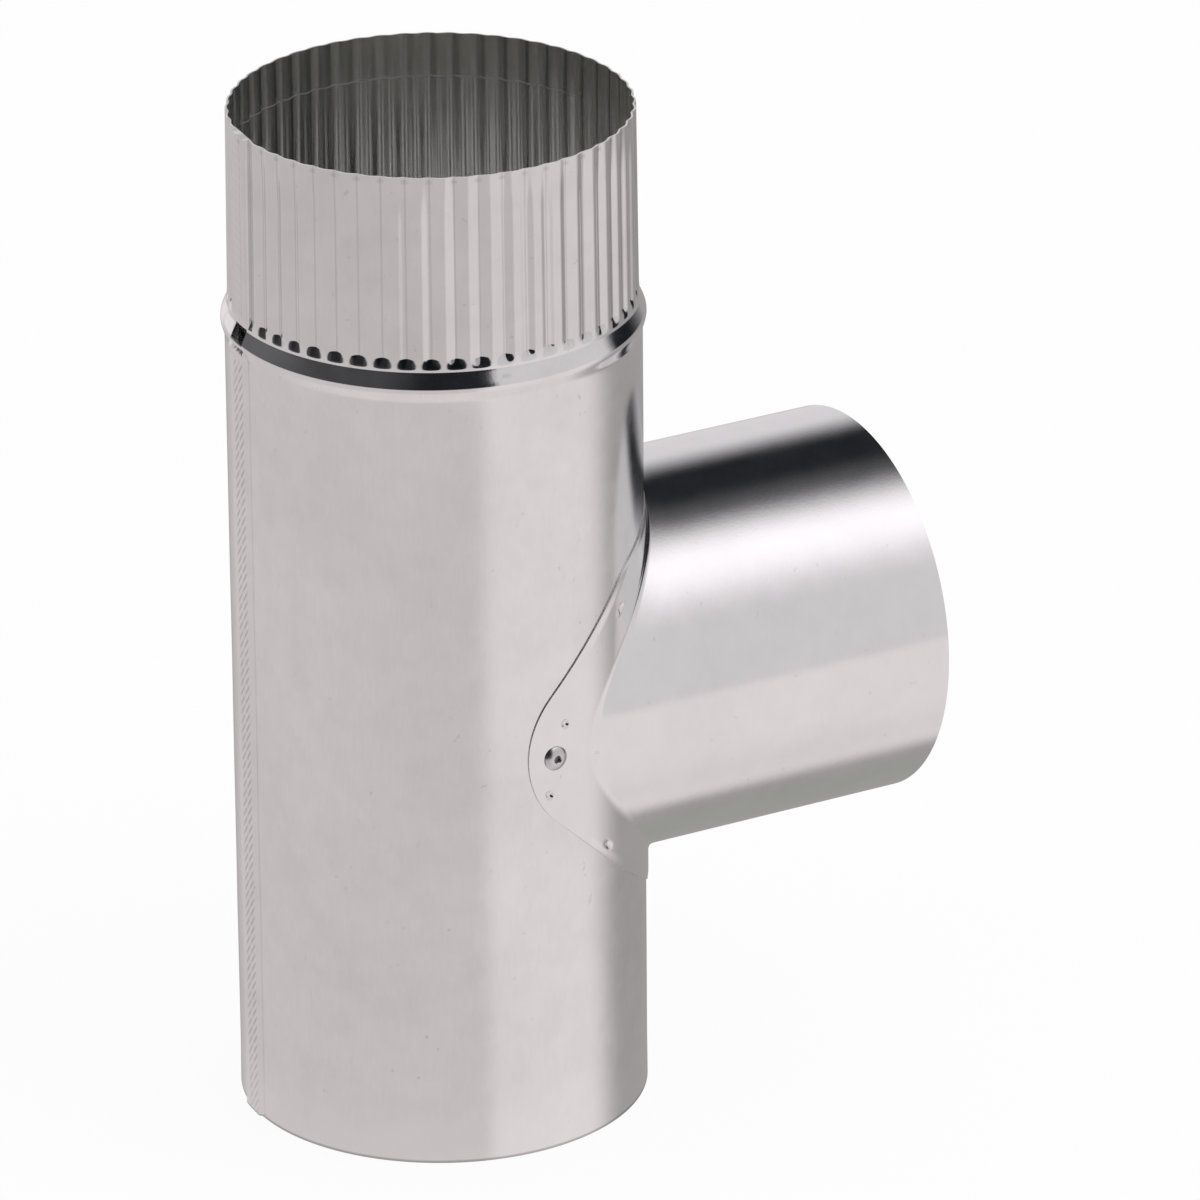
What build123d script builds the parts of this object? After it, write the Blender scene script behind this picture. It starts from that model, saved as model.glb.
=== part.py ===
from build123d import *
import os
from math import atan2, cos, degrees, radians, sin, sqrt, tan

# Flue tee of thin aluminium sheet, in millimetres.
# The pipe stands on its plain end at the origin, +Z runs up the pipe and +X along the branch.

# Sheet and pipe
sheet = 0.46
pipe_diameter = 102.0
pipe_height = 260.0

# Crimped end and the bead under it: heights along the pipe, drops in from the pipe's outside
crimp_length = 49.7
crimp_drop = 0.95
flute_run_out = 3.2
flute_count = 51
flute_depth = 0.8
crest_flat = 2.2
valley_flat = 1.2
shoulder_drop = 0.65
bead_rise = 1.15
bead_upper_flank = 3.9
bead_lower_flank = 3.6
bead_crest_bend = 3.0

# Folded lock seam down the side away from the branch
seam_angle = 174.0
seam_width = 7.6
fold_gap = 0.05
seam_bed_margin = 0.9

# Branch, a step narrower than the pipe all round, and its saddle flange
branch_step = 2.1
branch_height = 104.7
branch_length = 66.7
seat_gap = 0.05
tip_setback = 29.3
tip_lift = 0.3
tip_bend = 23.0
flank_forward = 12.5
upper_flank_inset = 6.2
lower_flank_inset = 10.5
flank_bend = 18.0
upper_margin = 4.0
lower_margin = 7.8

# Blind rivets, one each side of the branch
rivet_setback = 11.9
rivet_lift = 0.9
rivet_diameter = 3.2
rivet_hole_clearance = 0.05
rivet_head_diameter = 6.2
rivet_head_height = 1.1
rivet_rim_height = 0.3
rivet_upset_diameter = 4.8
rivet_upset_length = 2.4
mandrel_diameter = 1.8
mandrel_clearance = 0.03
mandrel_recess = 0.9
mandrel_head_diameter = 2.9
mandrel_head_length = 1.3

# Sizes that follow
pipe_radius = pipe_diameter / 2
branch_radius = pipe_radius - branch_step
branch_bore = branch_radius - sheet
branch_end = pipe_radius + branch_length
shoulder_height = pipe_height - crimp_length
run_out_height = shoulder_height + flute_run_out
bead_height = shoulder_height - bead_upper_flank
bead_foot = bead_height - bead_lower_flank
crest_radius = pipe_radius - crimp_drop
valley_radius = crest_radius - flute_depth
layer_step = sheet + fold_gap
flange_inside = pipe_radius + seat_gap
flange_outside = flange_inside + sheet
crease_x = sqrt(flange_outside**2 - branch_radius**2)

# Angles round the pipe, in degrees
arc_of_mm = degrees(1 / pipe_radius)
seam_start = seam_angle - seam_width / 2 * arc_of_mm
seam_end = seam_angle + seam_width / 2 * arc_of_mm
sheet_arc = sheet * arc_of_mm
gap_arc = fold_gap * arc_of_mm
hook_end = seam_end - sheet_arc - gap_arc
bed_half_arc = (seam_width / 2 + seam_bed_margin) * arc_of_mm
flute_pitch = (360 - 2 * bed_half_arc) / flute_count


def polar(radius, angle):
    return Vector(radius * cos(radians(angle)), radius * sin(radians(angle)))


def wall_line(shift):
    # Wall from the foot up over the bead to the shoulder, as radius and height, moved out by a shift
    wall = Line((pipe_radius + shift, 0), (pipe_radius + shift, bead_foot))
    bead = FilletPolyline(
        wall @ 1,
        (pipe_radius + bead_rise + shift, bead_height),
        (pipe_radius - shoulder_drop + shift, shoulder_height),
        radius=bead_crest_bend,
    )
    return wall @ 0, bead @ 1


def crimp_points(inset):
    # Corners of the flutes, for a face of the crimped wall set in by some sheet
    crest = crest_radius - inset
    valley = valley_radius - inset
    flank_run = radians(flute_pitch / 2) * crest_radius - (crest_flat + valley_flat) / 2
    mitre = inset * tan(atan2(flute_depth, flank_run) / 2)
    crest_arc = degrees((crest_flat / 2 - mitre) / crest)
    valley_arc = flute_pitch / 2 - degrees((valley_flat / 2 + mitre) / valley)
    corners = ((valley, -valley_arc), (crest, -crest_arc), (crest, crest_arc), (valley, valley_arc))
    first_crest = seam_angle + bed_half_arc + flute_pitch / 2
    crests = [first_crest + flute * flute_pitch for flute in range(flute_count)]
    return [polar(radius, angle + arc) for angle in crests for radius, arc in corners]


def pipe_form(inset):
    # The pipe as a full solid, to a face of its wall that is set in by some sheet
    run_out_slope = flute_run_out / (pipe_radius - shoulder_drop - valley_radius)
    with BuildPart() as form:
        with BuildSketch(Plane.XZ):
            with BuildLine():
                foot, shoulder = wall_line(-inset)
                cone_top = run_out_height + flute_depth * run_out_slope
                cone_tip = (valley_radius - flute_depth - inset, cone_top)
                Polyline(shoulder, cone_tip, (0, cone_top), (0, 0), foot)
            make_face()
        revolve(axis=Axis.Z)
        points = crimp_points(inset)
        with BuildSketch(Plane.XY.offset(shoulder_height)):
            with BuildLine():
                Polyline(*points)
                ThreePointArc(points[-1], polar(valley_radius - inset, seam_angle), points[0])
            make_face()
        extrude(amount=crimp_length)
    return form.part


def seam_layer(inner_shift, outer_shift, start, stop):
    # Part of the folded seam: a band of the wall's line, swept round from one angle to another
    with BuildPart() as layer:
        with BuildSketch(Plane.XZ):
            with BuildLine():
                ends = []
                for shift in (inner_shift, outer_shift):
                    foot, shoulder = wall_line(shift)
                    floor = valley_radius + shift
                    rise = Polyline(shoulder, (floor, run_out_height), (floor, pipe_height))
                    ends.append((foot, rise @ 1))
                Line(ends[0][0], ends[1][0])
                Line(ends[0][1], ends[1][1])
            make_face()
        revolve(axis=Axis.Z, revolution_arc=stop - start)
    return layer.part.rotate(Axis.Z, start)


def flange_plane(forward, lift, side):
    # Place on the flange's outer face, with its normal straight out from the pipe's axis
    x = crease_x + forward
    out = Vector(x, side * sqrt(flange_outside**2 - x**2), 0)
    return Plane(origin=out + Vector(0, 0, branch_height + lift), x_dir=(0, 0, 1), z_dir=out)


def lengthwise(place):
    # Plane through the place's normal: x along the pipe, y straight out
    return Plane(origin=place.origin, x_dir=place.x_dir, z_dir=place.x_dir.cross(place.z_dir))


rivet_planes = [flange_plane(-rivet_setback, rivet_lift, side) for side in (-1, 1)]

# Rivet levels, measured straight out from the flange's outer face
head_seat = seat_gap
head_top = head_seat + rivet_head_height
upset_sag = pipe_radius - sqrt(pipe_radius**2 - rivet_upset_diameter**2 / 4)
upset_face = -2 * (sheet + seat_gap) - upset_sag
upset_end = upset_face - rivet_upset_length
mandrel_hole = mandrel_diameter / 2 + mandrel_clearance
mandrel_head_face = upset_end - mandrel_clearance


def rivet_holes():
    with BuildPart() as holes:
        with BuildSketch(*[plane.offset(head_seat) for plane in rivet_planes]):
            Circle(rivet_diameter / 2 + rivet_hole_clearance)
        extrude(amount=upset_face - head_seat)
    return holes.part


# Bore of the branch, as far as the pipe's axis
with BuildPart() as branch_way:
    with BuildSketch(Plane.YZ):
        with Locations((0, branch_height)):
            Circle(branch_bore)
    extrude(amount=branch_end)

# Lock seam: the two edges of the sheet hook into each other, one under and one over
with BuildPart() as lock_seam:
    add(seam_layer(-sheet / 2, 3 * layer_step, seam_start - gap_arc - sheet_arc, seam_start - gap_arc))
    add(seam_layer(2 * layer_step + fold_gap, 3 * layer_step, seam_start - gap_arc, seam_end))
    add(seam_layer(fold_gap, 3 * layer_step, seam_end - sheet_arc, seam_end))
    add(seam_layer(fold_gap, layer_step, seam_start + sheet_arc + gap_arc, seam_end - sheet_arc))
    add(seam_layer(-sheet / 2, 2 * layer_step, seam_start, seam_start + sheet_arc))
    add(seam_layer(layer_step + fold_gap, 2 * layer_step, seam_start + sheet_arc, hook_end))

# Pipe: one rolled sheet with its crimps, bead, seam, branch opening and rivet holes
with BuildPart() as main_pipe:
    add(pipe_form(0))
    add(pipe_form(sheet), mode=Mode.SUBTRACT)
    add(seam_layer(-2 * sheet, sheet, seam_start - gap_arc, seam_start), mode=Mode.SUBTRACT)
    add(lock_seam.part)
    add(branch_way.part, mode=Mode.SUBTRACT)
    add(rivet_holes(), mode=Mode.SUBTRACT)


def collar_form(body_radius, tube_radius):
    # Pipe body and branch as one solid, meeting in the sharp crease
    with BuildPart() as form:
        with BuildSketch():
            Circle(body_radius)
        extrude(amount=pipe_height)
        with BuildSketch(Plane.YZ):
            with Locations((0, branch_height)):
                Circle(tube_radius)
        extrude(amount=branch_end)
    return form.part


# Branch collar: a plain round branch that bends out into the saddle flange on the pipe
with BuildPart() as branch_collar:
    add(collar_form(flange_outside, branch_radius))
    with BuildSketch(Plane.XZ):
        with BuildLine():
            outline = FilletPolyline(
                (flange_outside, branch_height + branch_radius + upper_margin),
                (crease_x + flank_forward, branch_height + branch_radius - upper_flank_inset),
                (crease_x - tip_setback, branch_height + tip_lift),
                (crease_x + flank_forward, branch_height - branch_radius + lower_flank_inset),
                (flange_outside, branch_height - branch_radius - lower_margin),
                radius=[flank_bend, tip_bend, flank_bend],
            )
            upper = (branch_end, (outline @ 0).Y)
            lower = (branch_end, (outline @ 1).Y)
            Polyline(outline @ 0, upper, lower, outline @ 1)
        make_face()
    extrude(amount=flange_outside, both=True, mode=Mode.INTERSECT)
    add(collar_form(flange_inside, branch_bore), mode=Mode.SUBTRACT)
    add(rivet_holes(), mode=Mode.SUBTRACT)

# Blind rivet bodies: domed head outside, upset barrel inside the pipe, open down the middle
with BuildPart() as blind_rivets:
    for place in rivet_planes:
        with BuildSketch(lengthwise(place)) as half:
            with BuildLine():
                shank = Polyline(
                    (mandrel_hole, head_top),
                    (mandrel_hole, upset_end),
                    (rivet_upset_diameter / 2, upset_end),
                    (rivet_upset_diameter / 2, upset_face),
                    (rivet_diameter / 2, upset_face),
                    (rivet_diameter / 2, head_seat),
                    (rivet_head_diameter / 2, head_seat),
                    (rivet_head_diameter / 2, head_seat + rivet_rim_height),
                )
                TangentArc(shank @ 0, shank @ 1, tangent=(1, 0))
            make_face()
        revolve(half.sketch, Axis(place.origin, place.z_dir))

# Mandrels: the broken stem down in each rivet, and the head that drew the barrel up
with BuildPart() as rivet_mandrels:
    for place in rivet_planes:
        with BuildSketch(lengthwise(place)) as half:
            with BuildLine():
                Polyline(
                    (0, head_top - mandrel_recess),
                    (mandrel_diameter / 2, head_top - mandrel_recess),
                    (mandrel_diameter / 2, mandrel_head_face),
                    (mandrel_head_diameter / 2, mandrel_head_face),
                    (mandrel_head_diameter / 2, mandrel_head_face - mandrel_head_length),
                    (0, mandrel_head_face - mandrel_head_length),
                    close=True,
                )
            make_face()
        revolve(half.sketch, Axis(place.origin, place.z_dir))

os.makedirs("parts", exist_ok=True)

main_pipe.part.label = "main_pipe"
export_step(main_pipe.part, "parts/main_pipe.step")

branch_collar.part.label = "branch_collar"
export_step(branch_collar.part, "parts/branch_collar.step")

blind_rivets.part.label = "blind_rivets"
export_step(blind_rivets.part, "parts/blind_rivets.step")

rivet_mandrels.part.label = "rivet_mandrels"
export_step(rivet_mandrels.part, "parts/rivet_mandrels.step")
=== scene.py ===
from bisect import bisect_left
from math import acos, asin, atan2, cos, degrees, floor, pi, radians, sin, sqrt

import bmesh
import bpy
from mathutils import Matrix, Vector, noise


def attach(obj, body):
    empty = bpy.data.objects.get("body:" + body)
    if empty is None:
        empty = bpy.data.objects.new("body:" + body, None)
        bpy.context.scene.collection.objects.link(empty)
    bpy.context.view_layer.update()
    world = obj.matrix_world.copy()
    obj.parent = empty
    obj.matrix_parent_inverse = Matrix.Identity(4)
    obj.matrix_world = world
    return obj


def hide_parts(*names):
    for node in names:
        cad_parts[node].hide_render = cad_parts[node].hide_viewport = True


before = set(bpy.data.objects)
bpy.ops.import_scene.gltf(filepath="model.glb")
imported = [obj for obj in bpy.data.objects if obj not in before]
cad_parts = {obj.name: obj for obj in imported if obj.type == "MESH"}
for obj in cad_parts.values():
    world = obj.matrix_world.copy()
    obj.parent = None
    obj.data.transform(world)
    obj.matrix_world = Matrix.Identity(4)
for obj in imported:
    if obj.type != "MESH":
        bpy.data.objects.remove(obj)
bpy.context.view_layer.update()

# Sizes in millimetres and angles in degrees. What the CAD part has too is the same there
MM = 0.001
SHEET = 0.46
PIPE_R = 51.0
PIPE_H = 260.0
PIPE_FOOT = 0.01
PIPE_RIM = 259.94
SHOULDER_Z = 210.3
SHOULDER_R = 50.35
BEAD_Z = 206.4
BEAD_FOOT_Z = 202.8
BEAD_R = 52.15
CREST_ROOT_R = 50.2
CREST_RIM_R = 49.75
FLUTES = 51
FLUTE_DEPTH = 0.8
RUN_OUT_START = 0.8
RUN_OUT = 3.2
SEAM_ANGLE = 174.0
SEAM_HALF = 4.05
BED_HALF = 4.7
bed_half_arc = degrees(BED_HALF / PIPE_R)
flute_pitch = (360 - 2 * bed_half_arc) / FLUTES

# Slanting marks pressed into the seam of the plain wall
STAMP_PITCH = 2.5
STAMP_SLANT = 1.3
STAMP_MIDDLE = 1.2
STAMP_HALF = 2.5
STAMP_SOFT = 0.5


# Shader fields: a socket with arithmetic, and one way to make any other node


class Field:
    def __init__(self, tree, socket=None):
        self.tree = tree
        self.socket = socket

    def make(self, kind, settings, values, output=0):
        node = self.tree.nodes.new(kind)
        for name, value in settings.items():
            setattr(node, name, value)
        for name, value in values.items():
            if isinstance(value, Field):
                self.tree.links.new(value.socket, node.inputs[name])
            else:
                node.inputs[name].default_value = value
        return Field(self.tree, node.outputs[output] if node.outputs else None)

    def maths(self, operation, first, second=0.0):
        return self.make("ShaderNodeMath", {"operation": operation}, {0: first, 1: second})

    def __add__(self, other):
        return self.maths("ADD", self, other)

    __radd__ = __add__

    def __mul__(self, other):
        return self.maths("MULTIPLY", self, other)

    __rmul__ = __mul__

    def __sub__(self, other):
        return self.maths("SUBTRACT", self, other)

    def __rsub__(self, other):
        return self.maths("SUBTRACT", other, self)

    def __truediv__(self, other):
        return self.maths("DIVIDE", self, other)

    def __rtruediv__(self, other):
        return self.maths("DIVIDE", other, self)

    def rise(self, low, high):
        values = {"Value": self, "From Min": low, "From Max": high}
        return self.make("ShaderNodeMapRange", {"interpolation_type": "SMOOTHSTEP"}, values)

    def band(self, low, high, soft):
        return self.rise(low - soft, low + soft) * (1.0 - self.rise(high - soft, high + soft))

    def sweep(self, low, high):
        return self * (high - low) + low

    def noise(self, scale, detail):
        values = {"Vector": self, "Scale": scale, "Detail": detail}
        return self.make("ShaderNodeTexNoise", {}, values)

    def stretched(self, scale):
        return self.make("ShaderNodeMapping", {}, {"Vector": self, "Scale": scale})

    def part(self, axis):
        return self.make("ShaderNodeSeparateXYZ", {}, {"Vector": self}, axis)

    def between(self, low, high):
        return self.make("ShaderNodeMix", {"data_type": "RGBA"}, {0: self, 6: low, 7: high}, 2)


def grey(value):
    return (value, value, value, 1.0)


# The pipe's marks, with its painted shade and painted highlight. Bands are low, high and softness: of
# height in metres, of angle round the pipe in degrees, or of phase as a share of a flute's pitch.
# Shades are shares of a darker tone, all painted shade

FACING = (-0.01, 0.01)
CRIMPED = (0.2105, 0.214)
BURNISHED = (0.2022, 0.2034)
BURNISH = 0.07
INSIDE_ROUGH = 0.22
LINING = grey(0.9)
# Painted highlight and painted shade of the stripes inside the crimped zone
LINING_PAINTED_LIGHT = (0.95, 0.96, 0.92, 1.0)
LINING_PAINTED_SHADE = (0.27, 0.29, 0.27, 1.0)
NARROW_FLANK = (0.03, 0.2, 0.03)
NARROW_END = (30, 55)
NARROW_SHADE = 0.6
BROAD_CREST = (0.3, 0.7, 0.05)
BROAD_START = (72, 100)
BROAD_SHADE = 0.62
# A scribed ring inside, made rougher and painted pale as a highlight round the back only
RING = (0.2486, 0.24895, 0.00008)
RING_START = (10, 30)
RING_SHARE = 0.7
RING_ROUGH = 0.4
RING_HIGHLIGHT_TONE = grey(0.95)
# Painted shade at the valleys' feet above the bead, on the left part of the front only, and in the
# notch
FOOT = (0.2113, 0.2134, 0.0002)
FOOT_CREST = (0.22, 0.78, 0.05)
FOOT_END = (-112, -100)
FOOT_SHADE = 0.7
NOTCH = (0.2066, 0.2111, 0.0001)
NOTCH_HALF = 3.9
NOTCH_SOFT = 0.1
NOTCH_SHADE = 0.92
# Painted shade in the pressed marks of the seam
STAMP_PHASE = (0.33, 0.67, 0.16)
STAMP_GAP = (-0.6, 0.3, 0.3)
STAMP_GAP_SHARE = 0.7
STAMP_END = (0.2012, 0.203)
STAMP_SHADE = 0.34
# Painted shade in the flute valleys just under the rim
RIM_VALLEY = (0.2583, 0.2593, 0.0003)
RIM_VALLEY_CREST = (0.14, 0.86, 0.05)
RIM_VALLEY_SHADE = 0.11
# Painted shade in the crimps' valleys and over the whole crimped outside
VALLEY_CREST = (0.04, 0.96, 0.015)
VALLEY_SHADE = 0.12
CRIMP_SHADE = 0.11
# Lighter towards the bottom of the outside
PALER_BOTTOM = (0.0005, 0.024)
PALER_BOTTOM_SHARE = 0.45
PALER_BOTTOM_TONE = grey(0.97)
# Painted shade along the bottom edge of the outside, where the pipe meets the floor
BOTTOM_SHADE_BAND = (0.0004, 0.0009)
BOTTOM_SHADE_SHARE = 0.6
BOTTOM_SHADE_TONE = grey(0.3)
# Black and a near-black tone, which the painted shade darkens towards
BLACK = grey(0.0)
HOLLOW_SHADE_TONE = grey(0.1)


def seam_stamp_shade(field, angle, height):
    # Painted shade in the pressed marks, in two columns, down the plain wall
    across = (angle - SEAM_ANGLE) * radians(PIPE_R) - STAMP_MIDDLE
    phase = field.maths("FRACT", (height * (1 / MM) - across * STAMP_SLANT) / STAMP_PITCH)
    stamped = phase.band(*STAMP_PHASE) * across.band(-STAMP_HALF, STAMP_HALF, STAMP_SOFT)
    columns = 1.0 - across.band(*STAMP_GAP) * STAMP_GAP_SHARE
    return stamped * columns * (1.0 - height.rise(*STAMP_END)) * STAMP_SHADE


def pipe_marks_and_painted_light(field, place, base, rough):
    # Inside: dull lining, painted shade and painted highlight in stripes, and a scribed ring painted
    # pale as a highlight. Outside: painted shade on the crimps, their valleys and feet, in the notch,
    # in the pressed marks and along the bottom edge; lighter towards the bottom
    x, y, z = place.part(0), place.part(1), place.part(2)
    normal = field.make("ShaderNodeTexCoord", {}, {}, "Normal")
    inside = 1.0 - (normal.part(0) * x + normal.part(1) * y).rise(*FACING)
    angle = field.maths("ARCTAN2", y, x) * degrees(1)
    phase = field.maths("FRACT", (angle + 360.0 - SEAM_ANGLE - bed_half_arc) / flute_pitch)
    crimped = z.rise(*CRIMPED)

    # Painted shade in stripes by flute phase inside the crimps, narrow ones on one part of the round
    # and broad ones on another, pale between as painted highlight
    narrow = phase.band(*NARROW_FLANK) * (1.0 - angle.rise(*NARROW_END)) * NARROW_SHADE
    broad = (1.0 - phase.band(*BROAD_CREST)) * angle.rise(*BROAD_START) * BROAD_SHADE
    lining = crimped.between(LINING, (narrow + broad).between(LINING_PAINTED_LIGHT, LINING_PAINTED_SHADE))
    # Scribed ring: rougher metal, and painted pale as a highlight round the back only
    ring = z.band(*RING) * angle.rise(*RING_START) * inside * RING_SHARE

    # Painted shade at the valleys' feet and in the notch in the bead
    foot = z.band(*FOOT) * (1.0 - phase.band(*FOOT_CREST)) * (1.0 - angle.rise(*FOOT_END))
    notch = z.band(*NOTCH) * angle.band(SEAM_ANGLE - NOTCH_HALF, SEAM_ANGLE + NOTCH_HALF, NOTCH_SOFT)
    # Painted shade in the flute valleys just under the rim
    rim_valley_shade = z.band(*RIM_VALLEY) * (1.0 - phase.band(*RIM_VALLEY_CREST)) * RIM_VALLEY_SHADE
    # Painted shade in the crimps' valleys and over the whole crimped outside, summed with the painted
    # shade in the pressed marks and under the rim
    valley = crimped * (1.0 - phase.band(*VALLEY_CREST)) * VALLEY_SHADE
    painted_wall_shade = valley + crimped * CRIMP_SHADE + seam_stamp_shade(field, angle, z) + rim_valley_shade
    painted_hollow_shade = field.maths("MAXIMUM", foot * FOOT_SHADE, notch * NOTCH_SHADE)
    outer = painted_hollow_shade.between(painted_wall_shade.between(base, BLACK), HOLLOW_SHADE_TONE)

    lined = inside.between(outer, ring.between(lining, RING_HIGHLIGHT_TONE))
    # Lighter towards the bottom of the outside
    paler_bottom = (1.0 - z.rise(*PALER_BOTTOM)) * (1.0 - inside) * PALER_BOTTOM_SHARE
    # Painted shade along the bottom edge of the outside, where the pipe meets the floor
    bottom_shade = (1.0 - z.rise(*BOTTOM_SHADE_BAND)) * (1.0 - inside) * BOTTOM_SHADE_SHARE
    marked_and_shaded = bottom_shade.between(paler_bottom.between(lined, PALER_BOTTOM_TONE), BOTTOM_SHADE_TONE)
    smooth = rough - z.rise(*BURNISHED) * BURNISH
    return marked_and_shaded, smooth + inside * (INSIDE_ROUGH - smooth) + ring * RING_ROUGH


# Sheet metal: clouds, mottle, rolling grain and small spots, each a noise's scale and detail

CLOUD = (28.0, 2.0)
MOTTLE = (150.0, 4.0)
GRAIN = (1500.0, 3.0)
GRAIN_STRETCH = (1.0, 1.0, 0.18)
SPOTS = (420.0, 2.0)
SPOT_RISE = (0.7, 0.78)
SPOT_TONE = (0.30, 0.29, 0.28, 1.0)
TONE_RISE = (0.3, 0.7)
MOTTLE_TONE, CLOUD_TONE, GRAIN_TONE = 0.4, 0.45, 0.15
ROUGH_RISE = (0.35, 0.65)
GRAIN_BUMP, MOTTLE_BUMP = 0.6, 0.4
BUMP_DISTANCE = 0.0002


def metal(name, pale, dark, roughness, rough_swing, speckle, bump, marks=None):
    material = bpy.data.materials.new(name)
    material.use_nodes = True
    tree = material.node_tree
    shader = tree.nodes["Principled BSDF"]
    field = Field(tree)
    place = field.make("ShaderNodeTexCoord", {}, {}, "Object")
    cloud = place.noise(*CLOUD)
    mottle = place.noise(*MOTTLE)
    grain = place.stretched(GRAIN_STRETCH).noise(*GRAIN)
    spots = place.noise(*SPOTS).rise(*SPOT_RISE) * speckle
    tone = mottle.rise(*TONE_RISE) * MOTTLE_TONE + cloud.rise(*TONE_RISE) * CLOUD_TONE
    tone = tone + grain.rise(*TONE_RISE) * GRAIN_TONE
    base = spots.between(tone.between(dark, pale), SPOT_TONE)
    rough = mottle.rise(*ROUGH_RISE) * rough_swing + roughness
    # For the pipe, marks adds its marks together with its painted shade and painted highlight
    if marks:
        base, rough = marks(field, place, base, rough)
    tree.links.new(base.socket, shader.inputs["Base Color"])
    tree.links.new(rough.socket, shader.inputs["Roughness"])
    height = grain * GRAIN_BUMP + mottle * MOTTLE_BUMP
    values = {"Height": height, "Strength": bump, "Distance": BUMP_DISTANCE}
    tree.links.new(field.make("ShaderNodeBump", {}, values).socket, shader.inputs["Normal"])
    shader.inputs["Metallic"].default_value = 1.0
    return material


pipe_metal = metal(
    "pipe aluminium",
    pale=grey(0.9),
    dark=grey(0.8),
    roughness=0.14,
    rough_swing=0.05,
    speckle=0.2,
    bump=0.05,
    marks=pipe_marks_and_painted_light,
)
collar_metal = metal(
    "collar aluminium",
    pale=grey(0.9),
    dark=grey(0.84),
    roughness=0.1,
    rough_swing=0.03,
    speckle=0.12,
    bump=0.09,
)
edge_metal = metal(
    "cut edge aluminium",
    pale=grey(0.8),
    dark=grey(0.7),
    roughness=0.5,
    rough_swing=0.05,
    speckle=0.1,
    bump=0.05,
)
rivet_metal = metal(
    "rivet aluminium",
    pale=grey(0.74),
    dark=grey(0.6),
    roughness=0.2,
    rough_swing=0.06,
    speckle=0.3,
    bump=0.08,
)
mandrel_metal = metal(
    "mandrel aluminium",
    pale=grey(0.3),
    dark=grey(0.2),
    roughness=0.42,
    rough_swing=0.08,
    speckle=0.4,
    bump=0.1,
)


# Forms: a flat grid laid onto a surface, given its wall and its smooth shading

GRID_MERGE = 0.001


def lay_grid(columns, rows, place):
    bm = bmesh.new()
    bmesh.ops.create_grid(bm, x_segments=columns, y_segments=rows, size=1.0)
    for vert in bm.verts:
        column = round((vert.co.x + 1) / 2 * columns)
        row = round((vert.co.y + 1) / 2 * rows)
        vert.co = place(column, row)
    bmesh.ops.remove_doubles(bm, verts=bm.verts, dist=GRID_MERGE)
    return bm


def new_piece(name, bm, *materials):
    bmesh.ops.scale(bm, vec=(MM, MM, MM), verts=bm.verts)
    mesh = bpy.data.meshes.new(name)
    bm.to_mesh(mesh)
    bm.free()
    for material in materials:
        mesh.materials.append(material)
    piece = bpy.data.objects.new(name, mesh)
    bpy.context.scene.collection.objects.link(piece)
    return piece


def settle(piece, sharp_angle):
    # Applies the modifiers, and shades smooth apart from sharp edges
    depsgraph = bpy.context.evaluated_depsgraph_get()
    mesh = bpy.data.meshes.new_from_object(piece.evaluated_get(depsgraph))
    piece.modifiers.clear()
    piece.data = mesh
    for polygon in mesh.polygons:
        polygon.use_smooth = True
    mesh.set_sharp_from_angle(angle=radians(sharp_angle))


def give_wall(piece, rim_material=0):
    wall = piece.modifiers.new("wall", "SOLIDIFY")
    wall.material_offset_rim = rim_material
    wall.thickness = SHEET * MM
    wall.offset = -1.0
    wall.use_even_offset = True
    wall.use_quality_normals = True


def show(piece, node):
    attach(piece, "root")
    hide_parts(node)


def ease(value, low, high):
    share = min(max((value - low) / (high - low), 0.0), 1.0)
    return share * share * (3 - 2 * share)


def round_pipe(radius, angle, height):
    return Vector((radius * cos(angle), radius * sin(angle), height))


def rounded_corners(points, bends, steps):
    # Points along a line whose inner corners are rounded by arcs
    line = [points[0]]
    for before, corner, after, bend in zip(points, points[1:], points[2:], bends):
        back = (before - corner).normalized()
        ahead = (after - corner).normalized()
        half = back.angle(ahead) / 2
        reach = bend * cos(half) / sin(half)
        middle = corner + (back + ahead).normalized() * bend / sin(half)
        start = corner + back * reach - middle
        stop = corner + ahead * reach - middle
        sweep = start.angle(stop)
        weight = sin(sweep)
        for step in range(steps + 1):
            share = step / steps
            from_start = start * sin((1 - share) * sweep) / weight
            line.append(middle + from_start + stop * sin(share * sweep) / weight)
    line.append(points[-1])
    return line


# Pipe: plain wall, bead, shoulder and flutes with their run-out

FLUTE_STEPS = 12
BED_STEPS = 16
BEAD_CREST_BLEND = 0.22
BEAD_FOOT_BLEND = 0.02
PHASE_SWAY = 0.05
PHASE_SEED = (3.7, 0.5)
VALLEY_POWER = 1.3
DEPTH_SWAY = 0.12
DEPTH_SEED = (1.9, 8.5)
RIPPLE = 0.05
RIPPLE_SCALE = 2.1
RIPPLE_LENGTH = 70
RIPPLE_START = 12
RIM_FADE = 12
RIM_SHALLOWING = 0.4
BARE_WALL_TOP = 200
RUN_OUT_TAIL = 0.4

# Heights where the rows' spacing changes, with the count of rows up to the next
ROW_STOPS = (
    (PIPE_FOOT, 16),
    (BARE_WALL_TOP, 24),
    (SHOULDER_Z, 4),
    (SHOULDER_Z + RUN_OUT_START, 12),
    (SHOULDER_Z + RUN_OUT, 2),
    (SHOULDER_Z + RUN_OUT + RUN_OUT_TAIL, 6),
    (PIPE_H - RIM_FADE, 6),
    (PIPE_RIM, 1),
)


def pipe_columns():
    start = SEAM_ANGLE + bed_half_arc
    angles = [start + flute_pitch * step / FLUTE_STEPS for step in range(FLUTES * FLUTE_STEPS)]
    bed_start = SEAM_ANGLE - bed_half_arc
    bed = [bed_start + 2 * bed_half_arc * step / BED_STEPS for step in range(BED_STEPS + 1)]
    return angles + [angle + 360 for angle in bed]


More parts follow.
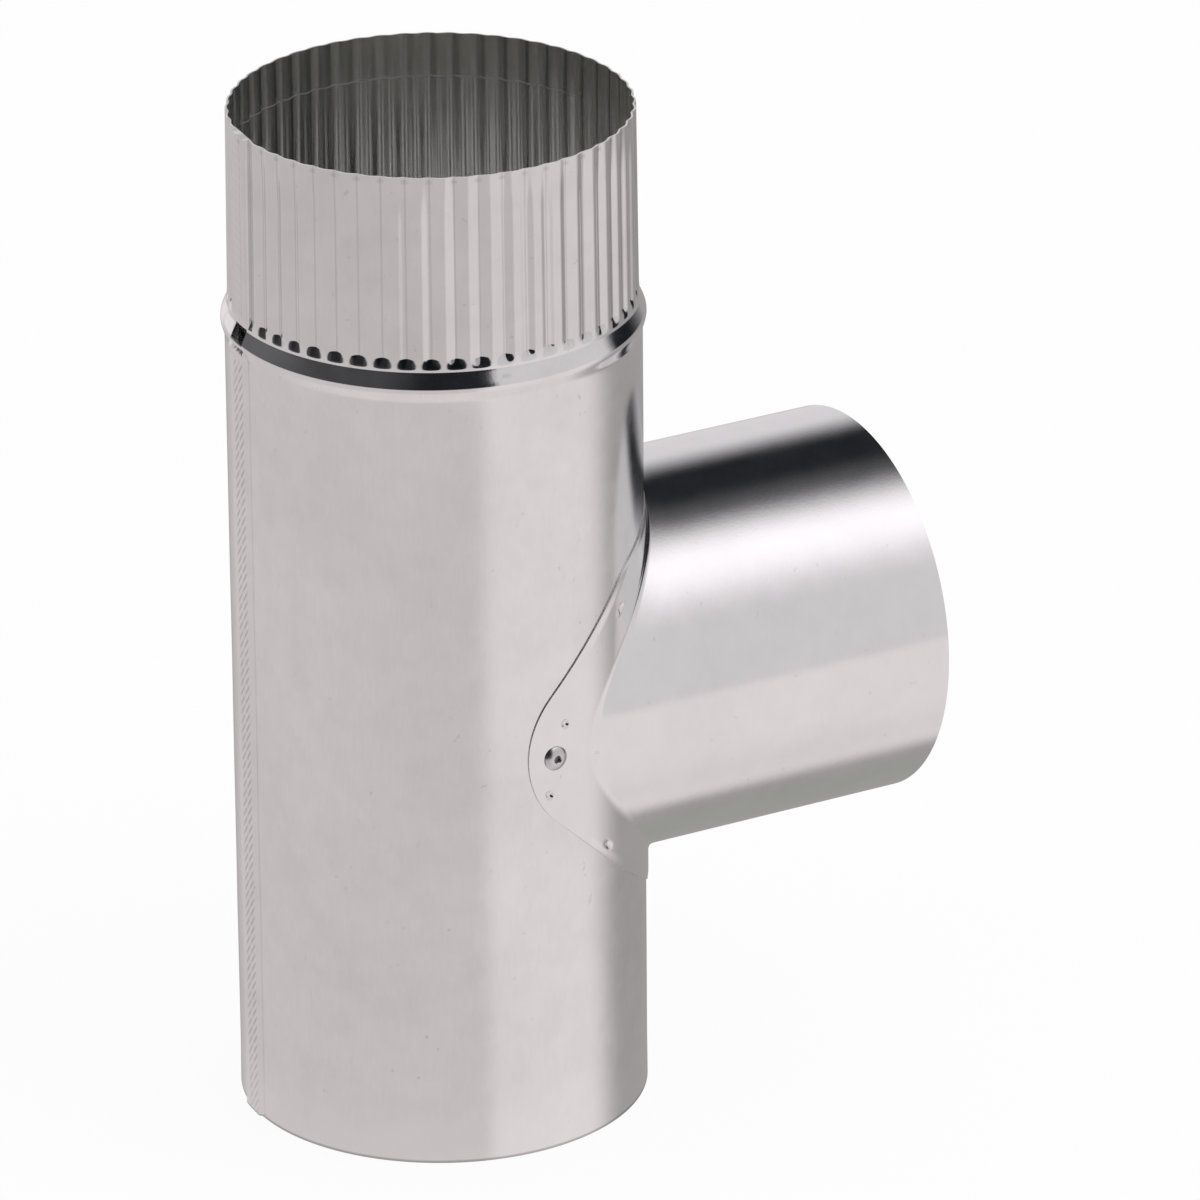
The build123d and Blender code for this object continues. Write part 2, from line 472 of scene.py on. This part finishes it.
def pipe_rows():
    heights = []
    for (start, count), (stop, _) in zip(ROW_STOPS, ROW_STOPS[1:]):
        heights += [start + (stop - start) * step / count for step in range(count)]
    return heights + [PIPE_RIM]


def bead_radius(height):
    # Two sloping flanks with the crest and the foot rounded off
    lower = PIPE_R + (BEAD_R - PIPE_R) * (height - BEAD_FOOT_Z) / (BEAD_Z - BEAD_FOOT_Z)
    upper = SHOULDER_R + (BEAD_R - SHOULDER_R) * (SHOULDER_Z - height) / (SHOULDER_Z - BEAD_Z)
    near_crest = max(0.0, 1 - abs(lower - upper) / (4 * BEAD_CREST_BLEND))
    top = min(lower, upper) - BEAD_CREST_BLEND * near_crest**2
    if height >= BEAD_Z:
        return top
    gap = top - PIPE_R
    return PIPE_R + (gap + sqrt(gap * gap + BEAD_FOOT_BLEND)) / 2


def flute_wave(angle):
    # 1 on a crest, 0 on a valley's floor, with broad crests and narrow valleys
    turn = (angle - SEAM_ANGLE - bed_half_arc) / flute_pitch
    if turn >= FLUTES:
        return 0.0
    flute = floor(turn)
    scale, offset = PHASE_SEED
    shift = PHASE_SWAY * noise.noise(Vector((flute * scale, offset, 0.0)))
    phase = (turn - flute - 0.5 + shift) * 2 * pi
    return 1 - ((1 - cos(phase)) / 2) ** VALLEY_POWER


def flute_size(angle):
    flute = floor((angle - SEAM_ANGLE - bed_half_arc) / flute_pitch)
    scale, offset = DEPTH_SEED
    return 1 + DEPTH_SWAY * noise.noise(Vector((flute * scale, offset, 0.0)))


def pipe_radius(angle, height):
    sway = Vector((cos(radians(angle)), sin(radians(angle)), height / RIPPLE_LENGTH))
    ripple = RIPPLE * (noise.noise(sway * RIPPLE_SCALE) - 1) * ease(height, 0, RIPPLE_START)
    if height <= SHOULDER_Z:
        return bead_radius(height) + ripple
    along = (height - SHOULDER_Z) / (PIPE_H - SHOULDER_Z)
    shoulder = 1 - ease(height, SHOULDER_Z, SHOULDER_Z + RUN_OUT)
    crest = CREST_ROOT_R + (CREST_RIM_R - CREST_ROOT_R) * along
    crest += (SHOULDER_R - CREST_ROOT_R) * shoulder
    run = (height - SHOULDER_Z - RUN_OUT_START) / (RUN_OUT - RUN_OUT_START)
    depth = FLUTE_DEPTH * min(max(run, 0.0), 1.0) * flute_size(angle)
    depth *= 1 - RIM_SHALLOWING * ease(height, PIPE_H - RIM_FADE, PIPE_H)
    return crest - depth * (1 - flute_wave(angle)) + ripple


pipe_angles = pipe_columns()
pipe_levels = pipe_rows()


def pipe_place(column, row):
    angle = pipe_angles[column]
    height = pipe_levels[row]
    return round_pipe(pipe_radius(angle, height), radians(angle), height)


# Cutters of the branch opening and of the notch in the bead

BRANCH_R = 48.9
BRANCH_BORE = 48.44
BRANCH_Z = 104.7
BRANCH_END = 117.7
OPENING_DEPTH = 80
OPENING_SEGMENTS = 180
NOTCH_SIZE = (8.0, 6.4, 3.6)
NOTCH_Z = 208.9


def cut(piece, tool):
    step = piece.modifiers.new("cut", "BOOLEAN")
    step.operation = "DIFFERENCE"
    step.solver = "EXACT"
    step.object = tool


def branch_cutter():
    bm = bmesh.new()
    bmesh.ops.create_cone(
        bm,
        cap_ends=True,
        segments=OPENING_SEGMENTS,
        radius1=BRANCH_BORE,
        radius2=BRANCH_BORE,
        depth=OPENING_DEPTH,
    )
    lying = Matrix.Rotation(pi / 2, 4, "Y")
    turn = Matrix.Translation((OPENING_DEPTH / 2, 0, BRANCH_Z)) @ lying
    bmesh.ops.transform(bm, matrix=turn, verts=bm.verts)
    return new_piece("branch cutter", bm)


def notch_cutter():
    bm = bmesh.new()
    bmesh.ops.create_cube(bm, size=1.0)
    bmesh.ops.scale(bm, vec=NOTCH_SIZE, verts=bm.verts)
    at_bead = Matrix.Translation((PIPE_R, 0, NOTCH_Z))
    turn = Matrix.Rotation(radians(SEAM_ANGLE), 4, "Z") @ at_bead
    bmesh.ops.transform(bm, matrix=turn, verts=bm.verts)
    return new_piece("notch cutter", bm)


pipe_grid = lay_grid(len(pipe_angles) - 1, len(pipe_levels) - 1, pipe_place)
pipe = new_piece("pipe_wall", pipe_grid, pipe_metal)
give_wall(pipe)
tools = [branch_cutter(), notch_cutter()]
for tool in tools:
    cut(pipe, tool)
settle(pipe, sharp_angle=48)
for tool in tools:
    bpy.data.objects.remove(tool)
show(pipe, "main_pipe")


# Lock seam: a folded bar down the pipe, pressed with marks, and its inner fold behind the notch

SEAM_FOOT = 0.3
SEAM_TOP = 259.99
BODY_SEAM_TOP = 206.9
BODY_SEAM_RISE = 0.9
BODY_SEAM_LEAN = 1.2
CRIMP_SEAM_FOOT = 211.2
CRIMP_SEAM_RISE = 1.53
CRIMP_SEAM_LEAN = 0.35
CRIMP_SEAM_TAPER = 0.25
SEAM_SUNK = 0.2
SEAM_BEND = 0.45
SEAM_BEND_STEPS = 5
SEAM_TOP_STEPS = 24
SEAM_ROW = 0.3
SEAM_SINK_RUN = 2.5
SEAM_SINK_MORE = 0.15
SEAM_TOP_MARGIN = 0.1
STAMP_DEPTH = 0.1
CRIMP_STAMP_PITCH = 2.35
CRIMP_STAMP_MIDDLE = -0.6
CRIMP_STAMP_EDGE = (1.8, 3.0)
FOLD_R = 49.3
FOLD_Z = 204.5
FOLD_ARC = 0.22
FOLD_COLUMNS, FOLD_ROWS = 12, 8


def seam_section(rise, lean):
    # Round the bar: up one folded edge, over the pressed top and down the other, as distance and rise
    foot = SEAM_HALF + lean
    corners = [
        Vector((-foot, -SEAM_SUNK)),
        Vector((-SEAM_HALF, rise)),
        Vector((SEAM_HALF, rise)),
        Vector((foot, -SEAM_SUNK)),
    ]
    line = rounded_corners(corners, (SEAM_BEND, SEAM_BEND), SEAM_BEND_STEPS)
    middle = len(line) // 2
    first, last = line[middle - 1], line[middle]
    top = [first.lerp(last, step / SEAM_TOP_STEPS) for step in range(1, SEAM_TOP_STEPS)]
    loop = line[:middle] + top + line[middle:]
    return loop + loop[:1]


def seam_mark(across, height):
    # Slanting marks down the plain wall, level ones on the crimped end
    if height > SHOULDER_Z:
        run = height / CRIMP_STAMP_PITCH
        edge = 1 - ease(abs(across - CRIMP_STAMP_MIDDLE), *CRIMP_STAMP_EDGE)
    else:
        aside = across - STAMP_MIDDLE
        run = (height - STAMP_SLANT * aside) / STAMP_PITCH
        edge = 1 - ease(abs(aside), STAMP_HALF - STAMP_SOFT, STAMP_HALF + STAMP_SOFT)
    return STAMP_DEPTH * edge * (1 - cos(2 * pi * run)) / 2


def seam_band(name, low, high, base, seam_rise, lean):
    seam_loop = seam_section(seam_rise, lean)
    rows = round((high - low) / SEAM_ROW)

    def place(column, row):
        height = low + (high - low) * row / rows
        across, rise = seam_loop[column]
        sinking = ease(height, BEAD_Z - SEAM_SINK_RUN, BEAD_Z) if height < SHOULDER_Z else 0.0
        on_top = rise > seam_rise - SEAM_TOP_MARGIN
        pressed = seam_mark(across, height) * (1 - sinking) if on_top else 0.0
        sunk = (seam_rise + SEAM_SINK_MORE) * sinking
        radius = base(height) + max(rise - pressed - sunk, -SEAM_SUNK)
        return round_pipe(radius, radians(SEAM_ANGLE) + across / PIPE_R, height)

    bm = lay_grid(len(seam_loop) - 1, rows, place)
    open_edges = [edge for edge in bm.edges if edge.is_boundary]
    bmesh.ops.holes_fill(bm, edges=open_edges, sides=0)
    bmesh.ops.recalc_face_normals(bm, faces=bm.faces)
    band = new_piece(name, bm, pipe_metal)
    settle(band, sharp_angle=60)
    show(band, "main_pipe")


def crimp_base(height):
    taper = CRIMP_SEAM_TAPER * (PIPE_H - height) / (PIPE_H - SHOULDER_Z)
    return CREST_RIM_R - FLUTE_DEPTH + taper


def seam_fold():
    def place(column, row):
        angle = radians(SEAM_ANGLE) + (column / FOLD_COLUMNS - 0.5) * FOLD_ARC
        return round_pipe(FOLD_R, angle, FOLD_Z + row)

    fold = new_piece("seam_fold", lay_grid(FOLD_COLUMNS, FOLD_ROWS, place), pipe_metal)
    give_wall(fold)
    settle(fold, sharp_angle=60)
    show(fold, "main_pipe")


seam_fold()
seam_band("body_seam", SEAM_FOOT, BODY_SEAM_TOP, bead_radius, BODY_SEAM_RISE, BODY_SEAM_LEAN)
seam_band("crimp_seam", CRIMP_SEAM_FOOT, SEAM_TOP, crimp_base, CRIMP_SEAM_RISE, CRIMP_SEAM_LEAN)


# Branch collar: plain tube, creased out into the saddle flange

FLANGE_R = 51.51
CREASE_X = sqrt(FLANGE_R**2 - BRANCH_R**2)
CREASE_BEND = 1.5
FLANK_FORWARD = 12.5
UPPER_FLANK_INSET = 6.2
LOWER_FLANK_INSET = 10.5
UPPER_MARGIN = 4.0
LOWER_MARGIN = 7.8
TIP_SETBACK = 29.3
TIP_LIFT = 0.3
FLANK_BEND = 18.0
TIP_BEND = 23.0
OUTLINE_BEND_STEPS = 24
OUTLINE_STEP = 0.4
EDGE_PRESS = 0.22
EDGE_PRESS_WIDTH = 2.4
DIMPLES = ((-8.8, 9.3), (-13.7, -8.5), (11.0, 33.1), (5.1, -28.0))
DIMPLE_R = 1.5
DIMPLE_DEPTH = 0.75
COLLAR_COLUMNS = 448
COLUMN_CROWDING = 0.32
TUBE_ROWS = 14
BEND_ROWS = 6
FLANGE_ROWS = 66
SMALLEST_LEAN = 1e-6


def flange_outline():
    # The flange's edge laid flat: distance round the pipe from the branch's side, and height
    corners = [
        Vector((FLANGE_R, BRANCH_R + UPPER_MARGIN)),
        Vector((CREASE_X + FLANK_FORWARD, BRANCH_R - UPPER_FLANK_INSET)),
        Vector((CREASE_X - TIP_SETBACK, TIP_LIFT)),
        Vector((CREASE_X + FLANK_FORWARD, LOWER_FLANK_INSET - BRANCH_R)),
        Vector((FLANGE_R, -BRANCH_R - LOWER_MARGIN)),
    ]
    line = rounded_corners(corners, (FLANK_BEND, TIP_BEND, FLANK_BEND), OUTLINE_BEND_STEPS)
    fine = []
    for first, second in zip(line, line[1:]):
        count = max(1, round((second - first).length / OUTLINE_STEP))
        fine += [first.lerp(second, step / count) for step in range(count)]
    fine.append(line[-1])
    return [Vector((FLANGE_R * acos(min(p.x / FLANGE_R, 1.0)), p.y)) for p in fine]


outline = flange_outline()
outline_turns = [-atan2(point.y, point.x) for point in outline]


def outline_at(turn):
    index = min(max(bisect_left(outline_turns, -turn), 1), len(outline) - 1)
    low, high = outline_turns[index - 1], outline_turns[index]
    share = (-turn - low) / (high - low) if high > low else 0.0
    return outline[index - 1].lerp(outline[index], share)


dimple_spots = []
for forward, lift in DIMPLES:
    dimple_spots.append(Vector((FLANGE_R * acos((CREASE_X + forward) / FLANGE_R), lift)))


def dent(spot):
    depth = 0.0
    for centre in dimple_spots:
        away = (spot - centre).length / DIMPLE_R
        if away < 1:
            depth += DIMPLE_DEPTH * (1 + cos(pi * away)) / 2
    return depth


def on_flange(spot, side, pressed=0.0):
    turn = spot.x / FLANGE_R
    radius = FLANGE_R - dent(spot) - pressed
    return Vector((radius * cos(turn), side * radius * sin(turn), BRANCH_Z + spot.y))


def collar_place(column, row):
    # Columns run round the branch, and rows from its open end over the crease to the flange's edge
    even = -pi / 2 + 2 * pi * column / COLLAR_COLUMNS
    turn = even - COLUMN_CROWDING * sin(2 * even)
    side = -1 if turn <= pi / 2 else 1
    lean = max(abs(cos(turn)), SMALLEST_LEAN)
    crease = Vector((FLANGE_R * asin(BRANCH_R * lean / FLANGE_R), BRANCH_R * sin(turn)))
    edge = outline_at(atan2(crease.y, crease.x))
    width = (edge - crease).length
    corner = on_flange(crease, side)
    if row <= TUBE_ROWS:
        root = corner.x + CREASE_BEND
        x = BRANCH_END + (root - BRANCH_END) * row / TUBE_ROWS
        return Vector((x, corner.y, corner.z))
    reach = min(CREASE_BEND / width, 0.5)
    if row <= TUBE_ROWS + BEND_ROWS:
        share = (row - TUBE_ROWS) / BEND_ROWS
        start = corner + Vector((CREASE_BEND, 0, 0))
        stop = on_flange(crease.lerp(edge, reach), side)
        return start * (1 - share) ** 2 + corner * 2 * share * (1 - share) + stop * share**2
    share = reach + (1 - reach) * (row - TUBE_ROWS - BEND_ROWS) / FLANGE_ROWS
    pressed = EDGE_PRESS * (1 - ease((1 - share) * width, 0, EDGE_PRESS_WIDTH))
    return on_flange(crease.lerp(edge, share), side, pressed)


collar_grid = lay_grid(COLLAR_COLUMNS, TUBE_ROWS + BEND_ROWS + FLANGE_ROWS, collar_place)
collar = new_piece("branch_collar_skin", collar_grid, collar_metal, edge_metal)
give_wall(collar, rim_material=1)
settle(collar, sharp_angle=50)
show(collar, "branch_collar")


# Blind rivets: domed head, hollow shank and upset barrel, with radii and heights from the flange

RIVET_FORWARD = -11.9
RIVET_LIFT = 0.9
RIVET_HOLE = 0.93
RIVET_SHANK = 1.6
RIVET_BARREL = 2.4
RIVET_HEAD = 3.1
HEAD_FOOT = 0.05
HEAD_RIM = 0.25
HOLE_TOP = 0.95
BARREL_TOP = -1.05
BARREL_FOOT = -3.4
DOME_RISE = 0.9
DOME_STEPS = 12
DOME_POINTS = 10
DOME_STEP, DOME_CURVE = 0.12, 0.008
RIVET_SEGMENTS = 48
RIVET_MERGE = 0.0005


def rivet_matrix(side):
    x = CREASE_X + RIVET_FORWARD
    out = Vector((x, side * sqrt(FLANGE_R**2 - x * x), 0))
    seat = Matrix.Translation(out + Vector((0, 0, BRANCH_Z + RIVET_LIFT)))
    return seat @ out.to_track_quat("Z", "Y").to_matrix().to_4x4()


def dome_point(step):
    radius = RIVET_HEAD - DOME_STEP * step - DOME_CURVE * step * step
    return radius, HEAD_RIM + DOME_RISE * sin(step / DOME_STEPS * pi / 2)


def rivet_form():
    line = [
        (RIVET_HOLE, HOLE_TOP),
        (RIVET_HOLE, BARREL_FOOT),
        (RIVET_BARREL, BARREL_FOOT),
        (RIVET_BARREL, BARREL_TOP),
        (RIVET_SHANK, BARREL_TOP),
        (RIVET_SHANK, HEAD_FOOT),
        (RIVET_HEAD, HEAD_FOOT),
        (RIVET_HEAD, HEAD_RIM),
    ]
    line += [dome_point(step) for step in range(1, DOME_POINTS + 1)]
    bm = bmesh.new()
    verts = [bm.verts.new((x, 0, z)) for x, z in line]
    edges = [bm.edges.new(pair) for pair in zip(verts, verts[1:] + verts[:1])]
    bmesh.ops.spin(
        bm,
        geom=verts + edges,
        axis=(0, 0, 1),
        cent=(0, 0, 0),
        steps=RIVET_SEGMENTS,
        angle=2 * pi,
        use_merge=True,
    )
    bmesh.ops.remove_doubles(bm, verts=bm.verts, dist=RIVET_MERGE)
    bmesh.ops.recalc_face_normals(bm, faces=bm.faces)
    return bm


for name, side in (("near_rivet", -1), ("far_rivet", 1)):
    form = rivet_form()
    bmesh.ops.transform(form, matrix=rivet_matrix(side), verts=form.verts)
    rivet = new_piece(name, form, rivet_metal)
    settle(rivet, sharp_angle=40)
    show(rivet, "blind_rivets")

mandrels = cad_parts["rivet_mandrels"]
mandrels.data.materials.clear()
mandrels.data.materials.append(mandrel_metal)


# Stage: pale floor that keeps the shadow, and the floor seen inside the pipe

FLOOR_HALF = 6.0
FLOOR_TONE = grey(0.88)
FLOOR_GLOW = 0.93
WHITE = grey(1.0)
SHADE_R = 50.2
SHADE_Z = 0.05
SHADE_SEGMENTS = 96
SHADE_TONE = grey(0.84)


def make_floor():
    bm = bmesh.new()
    bmesh.ops.create_grid(bm, x_segments=1, y_segments=1, size=FLOOR_HALF)
    mesh = bpy.data.meshes.new("floor")
    bm.to_mesh(mesh)
    bm.free()
    floor_piece = bpy.data.objects.new("floor", mesh)
    bpy.context.scene.collection.objects.link(floor_piece)
    material = bpy.data.materials.new("floor")
    material.use_nodes = True
    tree = material.node_tree
    tree.nodes.clear()
    field = Field(tree)
    paper = field.make("ShaderNodeBsdfDiffuse", {}, {"Color": FLOOR_TONE})
    glow = field.make("ShaderNodeEmission", {}, {"Color": WHITE, "Strength": 1.0})
    seen = field.make("ShaderNodeLightPath", {}, {}, "Is Camera Ray")
    mixed = field.make("ShaderNodeMixShader", {}, {0: seen * FLOOR_GLOW, 1: paper, 2: glow})
    field.make("ShaderNodeOutputMaterial", {}, {"Surface": mixed})
    mesh.materials.append(material)
    floor_piece.visible_glossy = False


def make_shade():
    bm = bmesh.new()
    bmesh.ops.create_circle(bm, cap_ends=True, segments=SHADE_SEGMENTS, radius=SHADE_R)
    bmesh.ops.translate(bm, vec=(0, 0, SHADE_Z), verts=bm.verts)
    shade = new_piece("shade", bm)
    material = bpy.data.materials.new("shade")
    material.use_nodes = True
    shader = material.node_tree.nodes["Principled BSDF"]
    shader.inputs["Base Color"].default_value = SHADE_TONE
    shade.data.materials.append(material)


# What the metal reflects of the studio. Turns are degrees to the right of -Y, lifts are degrees
# above level, each as the start and the end of a change, and levels are brightness

HORIZON = (-12.0, -7.0)
DEEP_LIFT = (-55.0, -38.0)
DEEP_TURN = (50.0, 80.0)
DEEP_LEVEL = 0.7
FLAT_LIFT = (28.0, 48.0)
EDGE_START = (-9.0, 2.0)
EDGE_STOP = (5.0, 6.0)
FLOOR_LEFT_LEVEL = 0.6
FLOOR_RIGHT_LEVEL = 0.75
FLOOR_FALL_TURN = (60.0, 92.0)
FLOOR_FALL = 0.4
REAR_TURN = (150.0, 179.0)
REAR_GAIN = 0.18
GLEAM_TURN = (142.0, 152.0)
GLEAM_LIFT = (-23.0, -14.0)
GLEAM_GAIN = 0.3
PANEL_END_START = (52.0, 74.0)
PANEL_END_STOP = (110.0, 84.0)
PANEL_LIFT = (26.0, 56.0)
PANEL_LEVEL = 0.635
PANEL_GAIN = 0.43
TAIL_TURN = (104.0, 130.0)
TAIL_LIFT = (35.0, 50.0)
TAIL_LEVEL = 0.08
SIDE_TURN = (98.0, 135.0)
SIDE_LIFT = (26.0, 38.0)
SIDE_LEVEL = 0.45
BACK_RIGHT_TURN = (137.0, 150.0)
BACK_LEFT_TURN = (-165.0, -150.0)
BACK_LIFT = (18.0, 43.0)
BACK_LEVEL = 0.7
DIM_TURN = (-60.0, -32.0)
DIM_GAIN = 0.045
DIM_REAR_TURN = (-135.0, -90.0)
DIM_REAR_GAIN = 0.07
DIM_LEVEL = 0.012
OLIVE_TURN = (80.0, 120.0)
OLIVE_LIFT = (-50.0, -35.0)
RED_SHARE, RED_ABOVE, RED_OLIVE = 1.055, 0.025, 0.07
GREEN_SHARE, GREEN_LEAST = 0.985, 0.002
BLUE_SHARE, BLUE_ABOVE, BLUE_OLIVE, BLUE_LEAST = 0.99, 0.018, 0.06, 0.005
AMBIENT_TONE = grey(0.86)


def studio_level(field, turn, lift, above):
    flat = 1.0 - lift.rise(*FLAT_LIFT)
    deep = 1.0 - lift.rise(*DEEP_LIFT)
    left_edge = turn.rise(above.sweep(*EDGE_START), above.sweep(*EDGE_STOP))

    right_floor = FLOOR_RIGHT_LEVEL - turn.rise(*FLOOR_FALL_TURN) * FLOOR_FALL
    right_floor = right_floor + turn.rise(*REAR_TURN) * REAR_GAIN
    right_floor = right_floor + turn.rise(*GLEAM_TURN) * lift.rise(*GLEAM_LIFT) * GLEAM_GAIN
    wall = left_edge * (right_floor - FLOOR_LEFT_LEVEL) + FLOOR_LEFT_LEVEL
    lower = wall + deep * (1.0 - turn.rise(*DEEP_TURN)) * (DEEP_LEVEL - wall)

    panel_end = turn.rise(flat.sweep(*PANEL_END_START), flat.sweep(*PANEL_END_STOP))
    panel = left_edge * (1.0 - panel_end) * (lift.rise(*PANEL_LIFT) * PANEL_GAIN + PANEL_LEVEL)
    tail = (1.0 - turn.rise(*TAIL_TURN)) * lift.rise(*TAIL_LIFT) * left_edge * TAIL_LEVEL
    side = turn.rise(*SIDE_TURN) * (1.0 - lift.rise(*SIDE_LIFT)) * SIDE_LEVEL
    behind = turn.rise(*BACK_RIGHT_TURN) + (1.0 - turn.rise(*BACK_LEFT_TURN))
    back = behind * (1.0 - lift.rise(*BACK_LIFT)) * BACK_LEVEL
    dim = (1.0 - turn.rise(*DIM_TURN)) * DIM_GAIN + DIM_LEVEL
    dim = dim + (1.0 - turn.rise(*DIM_REAR_TURN)) * DIM_REAR_GAIN
    upper = panel + tail + field.maths("MAXIMUM", side, back) + dim
    return lower + above * (upper - lower)


def make_world():
    world = bpy.data.worlds.new("studio")
    bpy.context.scene.world = world
    world.use_nodes = True
    tree = world.node_tree
    tree.nodes.clear()
    field = Field(tree)
    way = field.make("ShaderNodeTexCoord", {}, {}, "Generated")
    turn = field.maths("ARCTAN2", way.part(0), 0.0 - way.part(1)) * degrees(1)
    lift = field.maths("ARCSINE", way.part(2)) * degrees(1)
    above = lift.rise(*HORIZON)
    level = studio_level(field, turn, lift, above)
    olive = turn.rise(*OLIVE_TURN) * (1.0 - lift.rise(*OLIVE_LIFT))
    red = level * (RED_SHARE - above * RED_ABOVE - olive * RED_OLIVE)
    green = level * GREEN_SHARE + above * GREEN_LEAST
    blue = level * (above * BLUE_ABOVE + BLUE_SHARE - olive * BLUE_OLIVE) + above * BLUE_LEAST
    room = field.make("ShaderNodeCombineColor", {}, {0: red, 1: green, 2: blue})
    camera_ray = field.make("ShaderNodeLightPath", {}, {}, "Is Camera Ray")
    glossy_ray = Field(tree, camera_ray.socket.node.outputs["Is Glossy Ray"])
    seen = camera_ray.between(glossy_ray.between(AMBIENT_TONE, room), WHITE)
    glow = field.make("ShaderNodeBackground", {}, {"Color": seen, "Strength": 1.0})
    field.make("ShaderNodeOutputWorld", {}, {"Surface": glow})


# Light and camera, in metres and degrees

LIGHT_PLACE = Vector((0.9, -1.1, 1.7))
LIGHT_AIM = Vector((0, 0, 0.1))
CAMERA_PLACE = Vector((-1157.486, -2145.339, 1190.749)) * MM
CAMERA_TURN, CAMERA_LIFT, CAMERA_ROLL = -29.288, 23.539, -0.457


def make_light():
    data = bpy.data.lights.new("soft key", "AREA")
    data.energy = 9.0
    data.size = 1.2
    light = bpy.data.objects.new("soft key", data)
    light.location = LIGHT_PLACE
    light.rotation_mode = "QUATERNION"
    light.rotation_quaternion = (LIGHT_AIM - LIGHT_PLACE).to_track_quat("-Z", "Y")
    light.visible_glossy = False
    bpy.context.scene.collection.objects.link(light)


def make_camera():
    turn, lift, roll = radians(CAMERA_TURN), radians(CAMERA_LIFT), radians(CAMERA_ROLL)
    back = Vector((sin(turn) * cos(lift), -cos(turn) * cos(lift), sin(lift)))
    right = Vector((cos(turn), sin(turn), 0))
    up = back.cross(right)
    right_rolled = right * cos(roll) + up * sin(roll)
    up_rolled = up * cos(roll) - right * sin(roll)
    data = bpy.data.cameras.new("camera")
    data.sensor_width = 36.0
    data.lens = 323.83
    data.clip_start = 0.1
    data.clip_end = 20.0
    camera = bpy.data.objects.new("camera", data)
    place = Matrix((right_rolled, up_rolled, back)).transposed().to_4x4()
    place.translation = CAMERA_PLACE
    camera.matrix_world = place
    bpy.context.scene.collection.objects.link(camera)
    bpy.context.scene.camera = camera


make_floor()
make_shade()
make_world()
make_light()
make_camera()
bpy.context.scene.view_settings.view_transform = "Standard"

bpy.context.view_layer.update()
